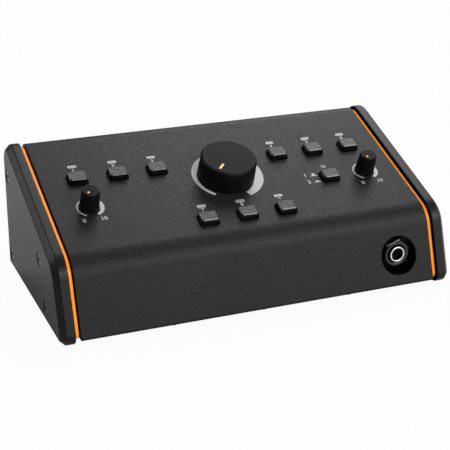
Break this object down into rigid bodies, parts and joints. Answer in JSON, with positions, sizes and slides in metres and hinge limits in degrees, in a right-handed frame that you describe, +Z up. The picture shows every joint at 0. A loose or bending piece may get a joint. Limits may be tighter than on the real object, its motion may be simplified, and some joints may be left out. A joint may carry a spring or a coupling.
{
  "type": "studio monitor controller",
  "caption": "Desktop studio monitor controller: black wedge case between two cheeks, large volume knob, level knobs, push buttons and a front headphone socket.",
  "frame": {"origin": "middle of the bounding box, on the plane that the feet stand on", "axes": "+X to the user's right along the width, +Y to the back, +Z up"},
  "size_m": [0.21, 0.11, 0.0735],
  "materials": {
    "case_paint": "fine textured black powder coat on folded steel",
    "cheek_paint": "satin black powder coat on aluminium plate",
    "trim_orange": "satin orange paint",
    "black_steel": "black zinc-plated steel",
    "bright_steel": "bright zinc-plated steel",
    "spacer_brass": "turned brass",
    "shaft_metal": "turned aluminium",
    "foot_rubber": "matt black rubber",
    "board_green": "green solder mask on glass-fibre board",
    "knob_plastic": "soft-touch black plastic",
    "mark_orange": "orange inlay",
    "cap_plastic": "satin dark grey plastic",
    "socket_plastic": "black moulded plastic",
    "lens_plastic": "frosted light-pipe plastic",
    "diode_plastic": "clear encapsulant",
    "chrome_ring": "polished chrome",
    "ribbon_grey": "grey flat cable",
    "can_aluminium": "sleeved aluminium can"
  },
  "bodies": {
    "case": {"top_cover": "case_paint", "base_plate": "case_paint", "rear_panel": "case_paint", "left_cheek": "cheek_paint", "right_cheek": "cheek_paint", "left_trim_plate": "trim_orange", "right_trim_plate": "trim_orange", "left_end_plate": "case_paint", "right_end_plate": "case_paint", "cheek_screws": "black_steel", "cheek_nuts": "bright_steel", "case_screws": "black_steel", "case_nuts": "bright_steel", "rubber_feet": "foot_rubber", "control_board": "board_green", "panel_studs": "bright_steel", "main_board": "board_green", "board_spacers": "spacer_brass", "board_screws": "bright_steel", "ribbon_cable": "ribbon_grey", "ribbon_headers": "socket_plastic", "capacitors": "can_aluminium", "amplifier_chips": "socket_plastic", "volume_pot": "bright_steel", "volume_nut": "bright_steel", "aux_pot": "bright_steel", "phones_pot": "bright_steel", "switch_bodies": "socket_plastic", "indicator_lenses": "lens_plastic", "indicator_diodes": "diode_plastic", "socket_bracket": "case_paint", "headphone_socket": "socket_plastic", "headphone_bush": "chrome_ring", "headphone_nut": "black_steel", "line_sockets": "socket_plastic", "line_socket_nuts": "bright_steel", "media_socket": "socket_plastic", "power_inlet": "socket_plastic", "power_switch": "socket_plastic"},
    "volume": {"volume_knob": "knob_plastic", "volume_mark": "mark_orange", "volume_shaft": "shaft_metal"},
    "aux": {"aux_knob": "knob_plastic", "aux_mark": "mark_orange", "aux_shaft": "shaft_metal"},
    "phones": {"phones_knob": "knob_plastic", "phones_mark": "mark_orange", "phones_shaft": "shaft_metal"},
    "source_button_1": {"source_button_1": "cap_plastic"},
    "source_button_2": {"source_button_2": "cap_plastic"},
    "source_button_3": {"source_button_3": "cap_plastic"},
    "speaker_button_1": {"speaker_button_1": "cap_plastic"},
    "speaker_button_2": {"speaker_button_2": "cap_plastic"},
    "speaker_button_3": {"speaker_button_3": "cap_plastic"},
    "function_button_1": {"function_button_1": "cap_plastic"},
    "function_button_2": {"function_button_2": "cap_plastic"},
    "function_button_3": {"function_button_3": "cap_plastic"},
    "select_button": {"select_button": "cap_plastic"},
    "power_button": {"power_button": "cap_plastic"}
  },
  "joints": [
    {"name": "volume_turn", "type": "hinge", "parent": "case", "child": "volume", "pos_m": [0, 0.0005, 0.05674], "axis": [0, 0.3502, -0.9367], "range_deg": [0, 270]},
    {"name": "aux_turn", "type": "hinge", "parent": "case", "child": "aux", "pos_m": [-0.0764, -0.00905, 0.05317], "axis": [0, 0.3502, -0.9367], "range_deg": [0, 270]},
    {"name": "phones_turn", "type": "hinge", "parent": "case", "child": "phones", "pos_m": [0.0764, -0.00905, 0.05317], "axis": [0, 0.3502, -0.9367], "range_deg": [0, 270]},
    {"name": "source_button_1_press", "type": "slide", "parent": "case", "child": "source_button_1", "axis": [0, 0.3502, -0.9367], "range_m": [0, 0.002], "stiffness_N_per_m": 600, "springref_m": -0.0005},
    {"name": "source_button_2_press", "type": "slide", "parent": "case", "child": "source_button_2", "axis": [0, 0.3502, -0.9367], "range_m": [0, 0.002], "stiffness_N_per_m": 600, "springref_m": -0.0005},
    {"name": "source_button_3_press", "type": "slide", "parent": "case", "child": "source_button_3", "axis": [0, 0.3502, -0.9367], "range_m": [0, 0.002], "stiffness_N_per_m": 600, "springref_m": -0.0005},
    {"name": "speaker_button_1_press", "type": "slide", "parent": "case", "child": "speaker_button_1", "axis": [0, 0.3502, -0.9367], "range_m": [0, 0.002], "stiffness_N_per_m": 600, "springref_m": -0.0005},
    {"name": "speaker_button_2_press", "type": "slide", "parent": "case", "child": "speaker_button_2", "axis": [0, 0.3502, -0.9367], "range_m": [0, 0.002], "stiffness_N_per_m": 600, "springref_m": -0.0005},
    {"name": "speaker_button_3_press", "type": "slide", "parent": "case", "child": "speaker_button_3", "axis": [0, 0.3502, -0.9367], "range_m": [0, 0.002], "stiffness_N_per_m": 600, "springref_m": -0.0005},
    {"name": "function_button_1_press", "type": "slide", "parent": "case", "child": "function_button_1", "axis": [0, 0.3502, -0.9367], "range_m": [0, 0.002], "stiffness_N_per_m": 600, "springref_m": -0.0005},
    {"name": "function_button_2_press", "type": "slide", "parent": "case", "child": "function_button_2", "axis": [0, 0.3502, -0.9367], "range_m": [0, 0.002], "stiffness_N_per_m": 600, "springref_m": -0.0005},
    {"name": "function_button_3_press", "type": "slide", "parent": "case", "child": "function_button_3", "axis": [0, 0.3502, -0.9367], "range_m": [0, 0.002], "stiffness_N_per_m": 600, "springref_m": -0.0005},
    {"name": "select_button_press", "type": "slide", "parent": "case", "child": "select_button", "axis": [0, 0.3502, -0.9367], "range_m": [0, 0.002], "stiffness_N_per_m": 600, "springref_m": -0.0005},
    {"name": "power_button_press", "type": "slide", "parent": "case", "child": "power_button", "axis": [0, -1, 0], "range_m": [0, 0.0016], "stiffness_N_per_m": 800, "springref_m": -0.0005}
  ]
}
